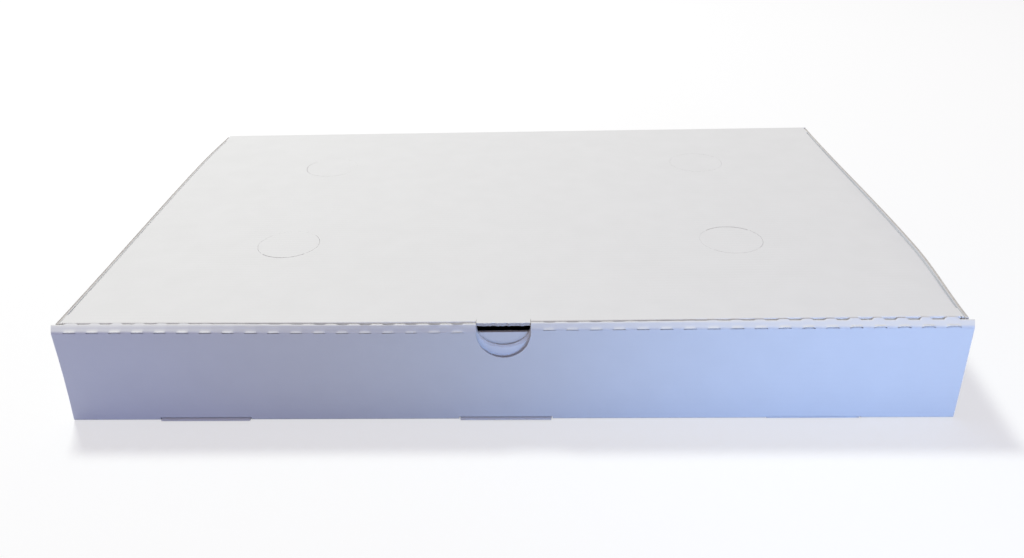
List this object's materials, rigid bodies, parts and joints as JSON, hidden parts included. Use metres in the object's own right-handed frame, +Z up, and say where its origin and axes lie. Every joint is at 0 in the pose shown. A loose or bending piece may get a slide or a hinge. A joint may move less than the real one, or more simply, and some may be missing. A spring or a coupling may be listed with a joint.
{
  "type": "pizza box",
  "caption": "Shallow oblong takeaway box of folded white corrugated board with a rolled front, a thumb notch and a hinged tuck-in lid.",
  "frame": {"origin": "middle of the base, on its lower face, which rests on the table", "axes": "+X to the right as seen from the front, +Y from the rolled front towards the hinge of the lid, +Z up"},
  "size_m": [0.5091, 0.3322, 0.0615],
  "materials": {
    "white_board": "matte"
  },
  "bodies": {
    "tray": {"tray": "white_board"},
    "lid": {"lid": "white_board"}
  },
  "joints": [
    {"name": "lid_hinge", "type": "hinge", "parent": "tray", "child": "lid", "pos_m": [0, 0.165, 0.0615], "axis": [-1, 0, 0], "range_deg": [0, 180]}
  ]
}
